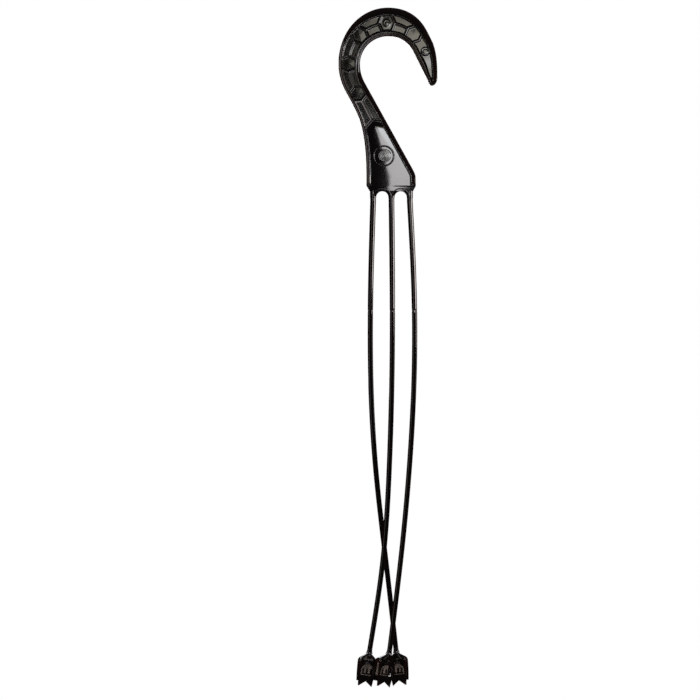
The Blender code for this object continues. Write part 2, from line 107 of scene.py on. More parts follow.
def makePlastic(name, stretch=(1, 1, 1), look=plasticLook):
    # cloudy near-black; the edge attribute paints a warm tint on the thin borders, which is painted
    # light, the hollow attribute adds dust to the recesses and in the clips a light beige, which is a
    # painted reflection, and the third attribute paints pale highlights along the cells' outlines; flow
    # lines and a fine grain go to the bump
    material = bpy.data.materials.new(name)
    material.use_nodes = True
    tree = material.node_tree
    shader = tree.nodes["Principled BSDF"]
    shader.inputs["IOR"].default_value = 1.53
    shader.inputs["Metallic"].default_value = 0.0
    place = addNode(tree, "ShaderNodeTexCoord")
    spread = addNode(tree, "ShaderNodeMapping", Scale=stretch)
    tree.links.new(place.outputs["Object"], spread.inputs["Vector"])

    cloud = addNode(tree, "ShaderNodeTexNoise", Scale=look["cloudSize"], Detail=4.0, Roughness=0.6)
    tree.links.new(spread.outputs["Vector"], cloud.inputs["Vector"])
    tint = addNode(tree, "ShaderNodeValToRGB")
    tint.color_ramp.elements[0].position = 0.35
    tint.color_ramp.elements[0].color = (*look["black"], 1)
    tint.color_ramp.elements[1].position = 0.75
    tint.color_ramp.elements[1].color = (*look["warm"], 1)
    tree.links.new(cloud.outputs["Fac"], tint.inputs["Fac"])
    colour = tint.outputs["Color"]
    shares = {}
    # the three layers: painted warm light on thin borders, dust and the clips' painted reflection in
    # recesses, painted highlights on the cells' outlines
    for key, layer in (("edge", "edge"), ("hollow", "dustAndPaintedGlow"), ("paintedGlint", "paintedGlint")):
        shares[key] = addNode(tree, "ShaderNodeAttribute", attribute_name=key).outputs["Fac"]
        mix = addNode(tree, "ShaderNodeMix", data_type="RGBA")
        mix.inputs["B"].default_value = (*look[layer], 1)
        tree.links.new(shares[key], mix.inputs["Factor"])
        tree.links.new(colour, mix.inputs["A"])
        colour = mix.outputs["Result"]
    tree.links.new(colour, shader.inputs["Base Color"])

    rough = addNode(tree, "ShaderNodeMapRange")
    rough.inputs["To Min"].default_value = look["roughLow"]
    rough.inputs["To Max"].default_value = look["roughHigh"]
    dust = addNode(tree, "ShaderNodeTexNoise", Scale=look["dustSize"], Detail=2.0)
    tree.links.new(spread.outputs["Vector"], dust.inputs["Vector"])
    dustAndPaintedGlow = addNode(tree, "ShaderNodeMath", operation="MULTIPLY")
    tree.links.new(shares["hollow"], dustAndPaintedGlow.inputs[0])
    tree.links.new(dust.outputs["Fac"], dustAndPaintedGlow.inputs[1])
    uneven = addNode(tree, "ShaderNodeMath", operation="MULTIPLY_ADD")
    uneven.inputs[1].default_value = look["dustShare"]
    tree.links.new(dustAndPaintedGlow.outputs["Value"], uneven.inputs[0])
    tree.links.new(cloud.outputs["Fac"], uneven.inputs[2])
    tree.links.new(uneven.outputs["Value"], rough.inputs["Value"])
    tree.links.new(rough.outputs["Result"], shader.inputs["Roughness"])

    flow = addNode(tree, "ShaderNodeTexNoise", Scale=look["flowSize"], Detail=1.5)
    grain = addNode(tree, "ShaderNodeTexNoise", Scale=look["grainSize"], Detail=1.0)
    tree.links.new(spread.outputs["Vector"], flow.inputs["Vector"])
    tree.links.new(spread.outputs["Vector"], grain.inputs["Vector"])
    flowBump = addNode(tree, "ShaderNodeBump", Strength=0.7, Distance=look["flowHeight"])
    grainBump = addNode(tree, "ShaderNodeBump", Strength=0.5, Distance=look["grainHeight"])
    tree.links.new(flow.outputs["Fac"], flowBump.inputs["Height"])
    tree.links.new(grain.outputs["Fac"], grainBump.inputs["Height"])
    tree.links.new(flowBump.outputs["Normal"], grainBump.inputs["Normal"])
    tree.links.new(grainBump.outputs["Normal"], shader.inputs["Normal"])
    return material


finishes = {
    "hook": makePlastic("hookPlastic"),
    "plate": makePlastic("platePlastic", (1, 1, 0.6)),
    "medallion": makePlastic("medallionPlastic"),
    "yoke": makePlastic("yokePlastic"),
    "strand": makePlastic("strandPlastic", (1, 1, 0.12)),
    "neck": makePlastic("neckPlastic"),
    # painted reflection: the clips' recess colour is a light beige on the back wall behind the window
    "clip": makePlastic("clipPlastic", look={**plasticLook, "dustAndPaintedGlow": (0.34, 0.28, 0.25)}),
    "latch": makePlastic("latchPlastic"),
}
print("finishes made")


def smoothStep(value, low, high):
    share = np.clip((value - low) / (high - low), 0, 1)
    return share * share * (3 - 2 * share)


def squareUp(value, square):
    # keeps the sign and raises the size to 2 / square, which squares up a circle
    return np.sign(value) * np.abs(value) ** (2 / square)


def gridQuads(rows, columns):
    # quads of a grid whose last column meets its first
    first = np.arange(rows - 1)[:, None] * columns
    here = np.arange(columns)[None, :]
    after = (here + 1) % columns
    corners = (first + here, first + after, first + columns + after, first + columns + here)
    return np.stack(corners, axis=-1).reshape(-1, 4)


def strapCap(start, half):
    # closes a loop of 2 * half points, front then back, by quads between the two faces
    front = start + np.arange(half - 1)
    back = start + 2 * half - 1 - np.arange(half - 1)
    return np.stack((front, front + 1, back - 1, back), axis=-1)


def signedVolume(points, faces):
    # sum of the signed tetrahedra between the origin and fans over the faces
    total = 0.0
    for size in (3, 4):
        chosen = np.array([face for face in faces if len(face) == size], int).reshape(-1, size)
        for i in range(1, size - 1):
            a, b, c = points[chosen[:, 0]], points[chosen[:, i]], points[chosen[:, i + 1]]
            total += np.einsum("ij,ij->i", a, np.cross(b, c)).sum() / 6
    return total


def faceOut(points, faces):
    if signedVolume(points, faces) < 0:
        return points, [list(face)[::-1] for face in faces]
    return points, faces


def makePiece(name, points, faces, slot, edge=None, hollow=None, paintedGlint=None):
    # points and quads or triangles as arrays; edge, hollow and the outline highlight are shares per
    # point: painted warm light on thin borders, dust and the clips' painted reflection in recesses,
    # painted highlights on the cells' outlines
    points, faces = faceOut(points, [list(face) for face in faces])
    mesh = bpy.data.meshes.new(name)
    mesh.from_pydata(points.tolist(), [], faces)
    mesh.polygons.foreach_set("use_smooth", np.ones(len(mesh.polygons), bool))
    for key, values in (("edge", edge), ("hollow", hollow), ("paintedGlint", paintedGlint)):
        data = np.zeros(len(points)) if values is None else values
        mesh.attributes.new(key, "FLOAT", "POINT").data.foreach_set("value", data.astype(np.float32))
    mesh.materials.append(finishes[slot])
    piece = bpy.data.objects.new(name, mesh)
    bpy.context.scene.collection.objects.link(piece)
    return piece


hookShape = {
    "innerRadius": 18.5,
    "throatRadius": 25.3,
    "neckSlant": 29.0,
    "beakSlant": 26.6,
    "beakLength": 21.5,
    "capLength": 4.6,
    "capSlant": 9.0,
    "widthAtNeck": 16.9,
    "widthAtThroat": 13.9,
    "widthAtSide": 14.3,
    "widthAtTop": 18.8,
    "widthAtBeak": 14.2,
    "widthAtTip": 7.0,
    "rowStep": 0.25,
    "capRows": 22,
    "steps": 900,  # fine steps along each straight or arc, before the rows are spaced
    "ringSteps": 3000,
    "columns": 64,
}

reliefShape = {
    "crest": 2.58,  # half thickness on top of the rims
    "wall": 1.15,
    "beadPower": 0.5,
    "beadRise": 0.3,  # shares of the inner rim's width
    "grooveAt": 0.52,
    "grooveHalf": 0.085,
    "grooveDepth": 0.42,
    "beadStep": 0.12,  # how much higher the bead beside the recess is
    "beadFall": 0.25,
    "rib": 1.95,
    "floor": 1.25,
    "outerRimSide": 2.3,
    "outerRimTop": 4.9,
    "innerRim": 3.2,
    "ribHalf": 0.50,
    "bevel": 0.45,
    "hexAt": (19.6, -0.9, -21.4, -41.9, -62.4),  # along the middle line from the crown
    "hexReach": 4.75,  # from the middle to the points
    "hexHalf": 4.75,  # to the flats
    "hexFlat": 2.7,
    "hexRib": 1.15,
    "padDome": 0.06,
    "ribRound": 0.14,  # how far a rib drops from its middle to its edges
    "bossAt": 33.6,
    "bossShift": 0.5,
    "bossRadius": 3.0,
    "bossHeight": 2.25,
    "bossRing": (0.12, 1.9),  # depth and radius of a turned groove
    "studRadius": 2.6,
    "studHeight": 0.12,
    "studRing": (0.05, 1.3),
    "ringHalf": 0.35,
    # painted highlights: width and strength of the pale lines painted along the cells' outlines
    "glintWidth": 0.24,
    "neckGlint": 0.22,
    "cellGlint": 0.78,
    "border": ((-15.0, -60.0, -0.742, 0.670), (-10.4, -54.9, 0.143, 0.990)),  # points and normals
    "clawBevel": 0.9,
    "clawFloor": 1.12,
    "rimFade": (-99.2, -96.6),  # the rims run out between these heights
    "plateFloor": 1.30,
    "plateBulge": 0.62,
}

toRadians = np.pi / 180
neckDrop = -boxes["plate"][1][2] / mm


def hookLine(shape=hookShape):
    # inner edge, direction across and width, from the neck's foot over the crown to the tip:
    # straight neck, throat arc, ring arc, straight beak, half oval; then evenly spaced rows
    slant, beak = shape["neckSlant"] * toRadians, shape["beakSlant"] * toRadians
    radius, throat = shape["innerRadius"], shape["throatRadius"]
    u = np.linspace(0, 1, shape["steps"])[:, None]
    top = np.array((throat * (1 - np.cos(slant)) - radius, -radius - throat * np.sin(slant)))
    length = (neckDrop + top[1]) / np.cos(slant)
    turn = slant * np.sin(u * np.pi / 2)
    parts = [(
        top + np.array((np.sin(slant), -np.cos(slant))) * length * (1 - u),
        np.hstack((-np.cos(turn), -np.sin(turn))),
        shape["widthAtThroat"] + (shape["widthAtNeck"] - shape["widthAtThroat"]) * (1 - u) ** 3,
    )]
    turn = slant * (1 - u)
    across = np.hstack((-np.cos(turn), -np.sin(turn)))
    width = shape["widthAtThroat"] + (shape["widthAtSide"] - shape["widthAtThroat"]) * u
    parts.append((np.array((throat - radius, -radius)) + across * throat, across, width))
    turn = -np.pi / 2 + (np.pi - beak) * np.linspace(0, 1, shape["ringSteps"])[:, None]
    across = np.hstack((np.sin(turn), np.cos(turn)))
    late = (np.clip(turn, 0, None) / (np.pi / 2 - beak)) ** 1.5
    rise = shape["widthAtSide"] + (shape["widthAtTop"] - shape["widthAtSide"]) * np.cos(turn) ** 2
    narrow = shape["widthAtBeak"] - shape["widthAtTop"]
    fall = shape["widthAtTop"] + narrow * (1 - np.cos(np.pi * late)) / 2
    parts.append((np.array((0, -radius)) + across * radius, across, np.where(turn < 0, rise, fall)))
    across = np.array((np.cos(beak), np.sin(beak))) + 0 * u
    start = np.array((0, -radius)) + across * radius
    edge = start + np.array((np.sin(beak), -np.cos(beak))) * shape["beakLength"] * u
    width = shape["widthAtBeak"] + (shape["widthAtTip"] - shape["widthAtBeak"]) * u ** 1.6
    parts.append((edge, across, width))

    table = np.vstack([np.hstack(part)[:-1] for part in parts] + [np.hstack(parts[-1])[-1:]])
    middle = table[:, :2] + table[:, 2:4] * table[:, 4:] / 2
    way = np.concatenate(([0], np.cumsum(np.linalg.norm(np.diff(middle, axis=0), axis=1))))
    rows = np.linspace(0, way[-1], int(way[-1] / shape["rowStep"]))
    line = np.stack([np.interp(rows, way, column) for column in table.T], axis=1)
    ring = slice(2 * shape["steps"], 2 * shape["steps"] + shape["ringSteps"])
    crown = np.interp(0, middle[ring, 0], way[ring])

    turn = np.linspace(0, np.pi / 2, shape["capRows"])[1:, None]
    lean = shape["capSlant"] * toRadians
    edge, across, width = line[-1, :2], line[-1, 2:4], line[-1, 4]
    ahead = np.array((np.sin(lean), -np.cos(lean)))
    centre = edge + across * width / 2 + ahead * shape["capLength"] * np.sin(turn)
    sides = centre - across * width / 2 * np.cos(turn)
    cap = np.hstack((sides, across + 0 * turn, width * np.cos(turn)))
    ways = np.concatenate((rows, rows[-1] + shape["capLength"] * np.sin(turn[:, 0]))) - crown
    return np.vstack((line, cap)), ways


def hexDistance(x, z, centre, tangent, shape=reliefShape):
    # how far a point lies outside a hexagon whose points lie along the tangent
    along = np.abs((x - centre[0]) * tangent[0] + (z - centre[1]) * tangent[1])
    across = np.abs((z - centre[1]) * tangent[0] - (x - centre[0]) * tangent[1])
    reach, half, flat = shape["hexReach"], shape["hexHalf"], shape["hexFlat"]
    slope = np.hypot(half, reach - flat)
    side = (half * along + (reach - flat) * across - reach * half) / slope
    return np.maximum(across - half, side)


def rimWidths(place, shape=reliefShape):
    # the outer rim thickens over the crown; both thin out along the beak
    outer = shape["outerRimSide"] + (shape["outerRimTop"] - shape["outerRimSide"]) * \
        smoothStep(place, -34, -6) * (1 - 0.64 * smoothStep(place, 16, 42))
    return outer, shape["innerRim"] * (1 - 0.35 * smoothStep(place, 40, 50))


def middleAt(rows, ways, place):
    # middle of the recessed band between the two rims, and the direction along it
    outer, inner = rimWidths(ways)
    middle = rows[:, :2] + rows[:, 2:4] * (rows[:, 4] + inner - outer)[:, None] / 2
    point = np.array([np.interp(place, ways, middle[:, i]) for i in (0, 1)])
    ahead = np.array([np.interp(place + 0.5, ways, middle[:, i]) for i in (0, 1)])
    return point, (ahead - point) / np.linalg.norm(ahead - point)


def slopedBead(share, shape=reliefShape):
    # rises by a power of the way from the edge, still sloping at its crest beside the recess
    return shape["wall"] + (shape["crest"] - shape["wall"]) * np.clip(share, 0, 1) ** shape["beadPower"]


def rimHeights(fromOuter, fromInner, outerWidth, place, shape=reliefShape):
    # outer rim: one sloped bead; inner rim: two narrow beads that merge into one down the neck
    crest, wall = shape["crest"], shape["wall"]
    outer = slopedBead(fromOuter / outerWidth)
    q = np.clip(fromInner / shape["innerRim"], 0, 1)
    rise = np.sqrt(1 - (1 - np.clip(q / shape["beadRise"], 0, 1)) ** 2)
    groove = shape["grooveDepth"] * np.exp(-((q - shape["grooveAt"]) / shape["grooveHalf"]) ** 2)
    step = shape["beadStep"]
    inner = wall + (crest - step - wall) * rise + step * smoothStep(q, 0.5, 0.7) - groove
    inner = inner - shape["beadFall"] * np.clip((q - 0.82) / 0.18, 0, 1) ** 2
    return outer, inner + (slopedBead(q) - inner) * smoothStep(-place, 38, 54)


def reliefHeight(x, z, fromOuter, fromInner, place, rows, ways, shape=reliefShape):
    # half thickness (rims, a net of ribs, hexagon pads, two bosses, a claw recess, a plate face) and
    # how strongly pale highlights are painted along the cells' outlines
    outerWidth, innerWidth = rimWidths(place)
    outer, inner = rimHeights(fromOuter, fromInner * shape["innerRim"] / innerWidth, outerWidth, place)

    border = np.minimum.reduce([
        (px - x) * nx + (pz - z) * nz for px, pz, nx, nz in shape["border"]
    ])  # positive below the slanted border between neck and plate
    hexes = [hexDistance(x, z, *middleAt(rows, ways, at)) for at in shape["hexAt"]]
    nearest = np.minimum.reduce(hexes)
    afterClaw = place > shape["hexAt"][0]
    middle = np.abs(fromInner - innerWidth - fromOuter + outerWidth) / 2
    cell = np.minimum(nearest - shape["hexRib"], -border - 0.5)
    cell = np.where(afterClaw, cell, np.minimum(cell, middle - shape["ribHalf"]))
    toRims = np.minimum(fromOuter - outerWidth, fromInner - innerWidth)
    clawBevel = shape["bevel"] + (shape["clawBevel"] - shape["bevel"]) * smoothStep(place, 30, 40)
    inCell = np.minimum(cell, toRims / clawBevel * shape["bevel"])
    dip = smoothStep(inCell, 0, shape["bevel"])
    outerSide = smoothStep(fromInner - innerWidth - fromOuter + outerWidth, 0, 0.6)
    # painted highlight: pale lines along the cells' outlines over the neck and on the outer side lower
    # down
    line = np.exp(-((inCell - 0.1) / shape["glintWidth"]) ** 2)
    neckGlint = shape["neckGlint"] * smoothStep(-place, 22, 40)
    paintedGlint = line * (neckGlint + shape["cellGlint"] * outerSide * smoothStep(-place, 63, 67))
    paintedGlint = paintedGlint * smoothStep(-border, 0.2, 0.8)
    floor = shape["floor"] + (shape["clawFloor"] - shape["floor"]) * smoothStep(place, 34, 46)
    fromEdge = np.minimum(np.maximum(nearest, 0), np.maximum(-cell, 0))
    crest = shape["rib"] - shape["ribRound"] * (1 - np.clip(fromEdge / shape["ribHalf"], 0, 1)) ** 2
    height = crest + (floor - crest) * dip

    pad = smoothStep(-nearest, 0, shape["bevel"]) * smoothStep(toRims, -0.3, 0.3)
    dome = shape["padDome"] * np.clip(-nearest / shape["hexHalf"], 0, 1)
    height = height + (shape["floor"] + dome - height) * pad

    point, tangent = middleAt(rows, ways, shape["hexAt"][1])
    stud = np.hypot(x - point[0], z - point[1])
    height = height + shape["studHeight"] * smoothStep(shape["studRadius"] - stud, 0, 0.5)
    deep, radius = shape["studRing"]
    height = height - deep * np.exp(-((stud - radius) / shape["ringHalf"]) ** 2)
    point, tangent = middleAt(rows, ways, shape["bossAt"])
    across = np.array((-tangent[1], tangent[0]))
    boss = np.hypot(*(np.array((x, z)) - (point + across * shape["bossShift"])[:, None, None]))
    deep, radius = shape["bossRing"]
    raised = shape["bossHeight"] - deep * np.exp(-((boss - radius) / shape["ringHalf"]) ** 2)
    height = height + (raised - height) * smoothStep(shape["bossRadius"] - boss, 0, 0.5)

    face = shape["plateFloor"] + shape["plateBulge"] * np.clip(
        1 - ((fromOuter - fromInner) / (fromOuter + fromInner)) ** 2, 0, 1) * smoothStep(border, 0, 5)
    height = np.where(border > 0, height + (face - height) * smoothStep(border, 0, 0.7), height)

    fade = smoothStep(z, *shape["rimFade"])
    outer, inner = height + (outer - height) * fade, height + (inner - height) * fade
    blend = shape["bevel"] * 0.8
    rimShare = smoothStep(fromOuter, outerWidth, outerWidth + blend)
    height = outer + (height - outer) * rimShare
    innerShare = smoothStep(fromInner, innerWidth, innerWidth + blend)
    return inner + (height - inner) * innerShare, paintedGlint


def acrossShares(count):
    # columns across the band, crowded towards the two rounded edges
    near = np.array((0, 0.0015, 0.006, 0.014, 0.026, 0.040))
    inside = np.linspace(0.055, 0.945, count - 12)
    return np.concatenate((near, inside, 1 - near[::-1]))


def strapSurface(name, left, right, fromLeft, fromRight, height, paintedGlint, slot):
    # a strap between two edge lines in XZ: front at -height, back at +height, caps at the ends
    rows, half = height.shape
    share = acrossShares(half)[None, :, None]
    flat = left[:, None, :] * (1 - share) + right[:, None, :] * share
    front = np.stack((flat[..., 0], -height, flat[..., 1]), axis=-1)
    back = np.stack((flat[..., 0], height, flat[..., 1]), axis=-1)[:, ::-1]
    points = np.concatenate((front, back), axis=1)
    quads = gridQuads(rows, 2 * half)
    last = strapCap((rows - 1) * 2 * half, half)
    quads = np.vstack((quads, strapCap(0, half)[:, ::-1], last))
    # painted light: a warm tint near the two side edges
    thin = np.exp(-np.minimum(fromLeft, fromRight) / 0.9)
    hollow = 1 - smoothStep(height, 1.2, 2.3)
    double = [np.concatenate((field, field[:, ::-1]), axis=1).ravel() for field in (thin, hollow, paintedGlint)]
    return makePiece(name, points.reshape(-1, 3) * mm, quads, slot, *double)


hookRows, hookWays = hookLine()


def makeHook(shape=hookShape):
    inner = hookRows[:, :2]
    outer = inner + hookRows[:, 2:4] * np.maximum(hookRows[:, 4:], 0.02)
    share = acrossShares(shape["columns"])[None, :]
    fromOuter = share * hookRows[:, 4:]
    fromInner = (1 - share) * hookRows[:, 4:]
    x = outer[:, :1] + (inner[:, :1] - outer[:, :1]) * share
    z = outer[:, 1:] + (inner[:, 1:] - outer[:, 1:]) * share
    place = hookWays[:, None] + 0 * share
    height, paintedGlint = reliefHeight(x, z, fromOuter, fromInner, place, hookRows, hookWays)
    # the tip closes in a round nose: the height falls with the distance to the end
    left = np.clip((hookWays[-1] - hookWays) / 3.2, 0, 1)[:, None]
    height = height * np.sqrt(1 - (1 - left) ** 2).clip(0.02)
    piece = strapSurface("hookBand", outer, inner, fromOuter, fromInner, height, paintedGlint, "hook")
    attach(piece, "frame")
    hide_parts("hook")
    print("hook:", len(piece.data.polygons), "faces")
    return piece


plateShape = {
    "left": -14.3,
    "right": 18.3,
    "height": 43.8,
    "softness": 0.6,
    "shoulder": 3.6,
    "legLeft": -12.0,
    "legRight": 16.4,
    "rowStep": 0.25,
    "columns": 116,
}


def makePlate(shape=plateShape):
    # left edge eases in by a cube, right edge follows the neck's slant and turns upright,
    # then both run in along the shoulders to the outer legs
    top = boxes["plate"][1][2] / mm
    foot = top - shape["height"] - shape["shoulder"] + 0.2
    z = np.linspace(top, foot, int((top - foot) / shape["rowStep"]))
    share = np.clip((top - z) / shape["height"], 0, 1)
    start = hookRows[0]
    left = shape["left"] + (start[0] - start[4] - shape["left"]) * (1 - share) ** 3
    slant = start[0] + (top - z) * np.tan(hookShape["neckSlant"] * toRadians)
    soft = shape["softness"]
    right = shape["right"] - soft * np.logaddexp(0, (shape["right"] - slant) / soft)
    low = np.clip((top - shape["height"] - z) / shape["shoulder"], 0, 1)
    left = left + (shape["legLeft"] - shape["left"]) * low
    right = right + (shape["legRight"] - shape["right"]) * low
    across = acrossShares(shape["columns"])[None, :]
    x = left[:, None] + (right - left)[:, None] * across
    lean = np.cos(np.arctan(np.gradient(right, z)))[:, None]
    fromLeft = x - left[:, None]
    fromRight = (right[:, None] - x) * (1 + (lean - 1) * smoothStep(top - z, 0, 6)[:, None])
    place = hookWays[0] - (top - z)[:, None] + 0 * across
    height, paintedGlint = reliefHeight(x, z[:, None] + 0 * x, fromLeft, fromRight, place, hookRows, hookWays)
    edges = [np.stack((side, z), axis=1) for side in (left, right)]
    piece = strapSurface("plateGusset", *edges, fromLeft, fromRight, height, paintedGlint, "plate")
    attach(piece, "frame")
    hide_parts("plate")
    print("plate:", len(piece.data.polygons), "faces")
    return piece


makeHook()
makePlate()


medallionShape = {
    "profile": (  # radius, share of the way from the back to the front
        (0.3, 0.72), (1.2, 0.715), (2.2, 0.70), (3.1, 0.672), (3.9, 0.635), (4.5, 0.59), (4.95, 0.53),
        (5.25, 0.45), (5.45, 0.34), (5.6, 0.30), (5.75, 0.38), (5.9, 0.62), (6.05, 0.82), (6.25, 0.94),
        (6.5, 1.0), (6.75, 0.94), (6.95, 0.80), (7.08, 0.60), (7.16, 0.35), (7.19, 0.0), (6.0, 0.0),
        (3.0, 0.0), (0.3, 0.0),
    ),
    "disc": 5.2,
    "ripple": 0.010,  # shallow turned grooves on the disc
    "ripplePitch": 0.86,
    "back": -1.1,
    "turns": 120,
}


def ringSurface(rings):
    # skin through rows of loops, each end closed on the middle of its loop
    rows, columns = rings.shape[:2]
    points = np.concatenate((rings.reshape(-1, 3), rings[:1].mean(axis=1), rings[-1:].mean(axis=1)))
    here = np.arange(columns)
    after = (here + 1) % columns
    low = np.stack((after, here, 0 * here + rows * columns), axis=-1)
    high = np.stack((here, after, 0 * here + columns + 1), axis=-1) + (rows - 1) * columns
    return points, gridQuads(rows, columns).tolist() + low.tolist() + high.tolist()


def makeMedallion(shape=medallionShape):
    # a profile turned about the Y axis through the medallion's middle
    low, high = boxes["medallion"]
    middle = (low + high) / 2 / mm
    front = low[1] / mm
    radius, lift = np.array(shape["profile"]).T
    disc = np.linspace(shape["disc"], 0.2, 40)[::-1]
    ripple = shape["ripple"] * np.cos(2 * np.pi * disc / shape["ripplePitch"])
    ripple = ripple * smoothStep(shape["disc"] - disc, 0, 0.8)
    lift = np.concatenate((np.interp(disc, radius[:8], lift[:8]) + ripple, lift[8:]))
    radius = np.concatenate((disc, radius[8:]))
    turn = np.linspace(0, 2 * np.pi, shape["turns"], endpoint=False)
    y = shape["back"] + (front - shape["back"]) * lift
    rings = np.stack((
        middle[0] + radius[:, None] * np.cos(turn),
        y[:, None] + 0 * turn,
        middle[2] + radius[:, None] * np.sin(turn),
    ), axis=-1)
    points, faces = ringSurface(rings)
    piece = makePiece("medallionDisc", points * mm, faces, "medallion")
    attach(piece, "frame")
    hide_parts("medallion")
    return piece


makeMedallion()
print("medallion made")


def joinForms(forms):
    points, faces, start = [], [], 0
    for formPoints, formFaces in forms:
        points.append(formPoints)
        faces += [[corner + start for corner in face] for face in formFaces]
        start += len(formPoints)
    return np.vstack(points), faces


def mouldSkin(forms, voxel, rounds):
    # voxel remesh over all forms, then a few rounds of smoothing soften the edges
    points, faces = joinForms([faceOut(*form) for form in forms])
    mesh = bpy.data.meshes.new("forms")
    mesh.from_pydata(points.tolist(), [], faces)
    work = bpy.data.objects.new("forms", mesh)
    bpy.context.scene.collection.objects.link(work)
    grid = work.modifiers.new("skin", "REMESH")
    grid.mode = "VOXEL"
    grid.voxel_size = voxel
    soft = work.modifiers.new("soft", "SMOOTH")
    soft.factor = 0.5
    soft.iterations = rounds
    done = work.evaluated_get(bpy.context.evaluated_depsgraph_get()).to_mesh()
    skin = np.zeros(len(done.vertices) * 3)
    done.vertices.foreach_get("co", skin)
    corners = np.zeros(len(done.loops), int)
    done.loops.foreach_get("vertex_index", corners)
    skinFaces = corners.reshape(-1, 4).tolist()
    bpy.data.objects.remove(work)
    bpy.data.meshes.remove(mesh)
    return skin.reshape(-1, 3), skinFaces


def cutCorners(outline, rounds):
    # each round replaces every corner by two points a quarter of the way along its sides
    for done in range(rounds):
        after = np.roll(outline, -1, axis=0)
        pairs = (outline * 0.75 + after * 0.25, outline * 0.25 + after * 0.75)
        outline = np.stack(pairs, axis=1).reshape(-1, 2)
    return outline


def barOutline(width, depth, shape):
    # narrow crest, wide slanted flanks and a thin upright side, mirrored front to back
    x, y = width / 2, depth / 2
    crest, side = shape["crestHalf"], shape["sideHalf"]
    right = np.array(((x, -side), (x, side), (crest, y)))
    left = right[::-1] * (-1, 1)
    corners = np.vstack((right, left, (-crest, -y), (crest, -y)))
    return cutCorners(corners, 3)


yokeShape = {
    "pitch": 12.1,
    "legWidth": 4.2,
    "crown": 3.5,
    "legTop": 3.0,
    "depth": 4.0,
    "crestHalf": 0.34,
    "sideHalf": 0.75,
    "voxel": 0.14,
    "rounds": 2,
    "turns": 61,
}


def makeYoke(shape=yokeShape):
    # the bar outline carried round two arches that share the middle leg
    low, high = boxes["yoke"] / np.array(mm)
    centreX = joints["middle_strand_spread"]["pos_m"][0] / mm
    inside = (shape["pitch"] - shape["legWidth"]) / 2
    springZ = high[2] - shape["crown"] - inside
    turn = np.linspace(0, np.pi, shape["turns"])
    forms = []
    for side in (-0.5, 0.5):
        middle = centreX + side * shape["pitch"]
        band = shape["legWidth"] + (shape["crown"] - shape["legWidth"]) * np.sin(turn) ** 2
        outwards = np.stack((np.cos(turn), np.sin(turn)), axis=-1)
        centres = np.array((middle, springZ)) + outwards * (inside + band / 2)[:, None]
        foot = low[2] - springZ
        ends = centres[[0, -1]] + np.array((0, foot))
        centres = np.vstack((ends[:1], centres, ends[1:]))
        outwards = np.vstack((outwards[:1], outwards, outwards[-1:]))
        band = np.concatenate((band[:1], band, band[-1:]))
        section = np.stack([barOutline(width, shape["depth"], shape) for width in band])
        rings = np.stack((
            centres[:, None, 0] + outwards[:, None, 0] * section[..., 0],
            section[..., 1],
            centres[:, None, 1] + outwards[:, None, 1] * section[..., 0],
        ), axis=-1)
        forms.append(ringSurface(rings))
    for side in (-1, 1):
        level = np.array((low[2], high[2] - shape["legTop"]))
        section = barOutline(shape["legWidth"], shape["depth"], shape)
        x = np.tile(centreX + side * shape["pitch"] + section[:, 0], (2, 1))
        y = np.tile(section[:, 1], (2, 1))
        forms.append(ringSurface(np.stack((x, y, level[:, None] + 0 * x), axis=-1)))
    points, faces = mouldSkin(forms, shape["voxel"], shape["rounds"])
    # painted light: a warm tint on the sides
    thin = smoothStep(1.4 - np.abs(points[:, 1]), 0, 0.9)
    piece = makePiece("yokeArches", points * mm, faces, "yoke", edge=thin * 0.6)
    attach(piece, "frame")
    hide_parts("yoke")
    print("yoke:", len(piece.data.polygons), "faces")
    return piece


makeYoke()


strandShape = {
    "bow": {
        "left": (-4.6, -7.5, -7.2, -3.7),
        "middle": (3.4, 5.9, 7.0, 5.8),
        "right": (5.4, 8.0, 7.5, 4.6),
    },
    "barShare": 0.245,
    "barWidth": 3.9,
    "barEndWidth": 3.6,
    "barDepth": 3.8,
    "crestHalf": 0.30,
    "sideHalf": 0.70,
    "aboveRoot": 3.2,
    "aboveRows": 13,
    "shoulder": 1.4,  # length over which the bar draws in to the rod
    "barRows": 150,
    "rodRows": 420,
    "rodRadius": 1.75,
    "rodEndRadius": 1.60,
    "rodSides": 32,
    "seamHeight": 0.07,  # parting line along both sides
}


def spot(name):
    return np.array(joints[name]["pos_m"]) / mm


def naturalSpline(values, share):
    # cubic through evenly spaced values, without bending at its two ends
    count = len(values) - 1
    step = 1 / count
    system = 4 * np.eye(count - 1) + np.eye(count - 1, k=1) + np.eye(count - 1, k=-1)
    bends = np.zeros(count + 1)
    bends[1:-1] = np.linalg.solve(system, 6 * np.diff(values, 2) / step ** 2)
    cell = np.clip((share * count).astype(int), 0, count - 1)
    right = share * count - cell
    left = 1 - right
    curve = bends[cell] * (left ** 3 - left) + bends[cell + 1] * (right ** 3 - right)
    return values[cell] * left + values[cell + 1] * right + curve * step ** 2 / 6


def strandLine(side, share):
    # straight chord from root to neck plus the sideways bow
    root, neck = spot(f"{side}_strand_spread"), spot(f"{side}_neck_bend")
    points = root + (neck - root) * share[:, None]
    points[:, 0] += naturalSpline(np.array((0, *strandShape["bow"][side], 0)), share)
    return points


def sweep(line, sections):
    # each section lies square to the line; its first coordinate points sideways
    along = np.gradient(line, axis=0)
    along /= np.linalg.norm(along, axis=1)[:, None]
    sideways = np.cross(along, (0, 1, 0))
    sideways /= np.linalg.norm(sideways, axis=1)[:, None]
    backwards = np.cross(sideways, along)
    aside = sideways[:, None] * sections[..., :1]
    return line[:, None] + aside + backwards[:, None] * sections[..., 1:]


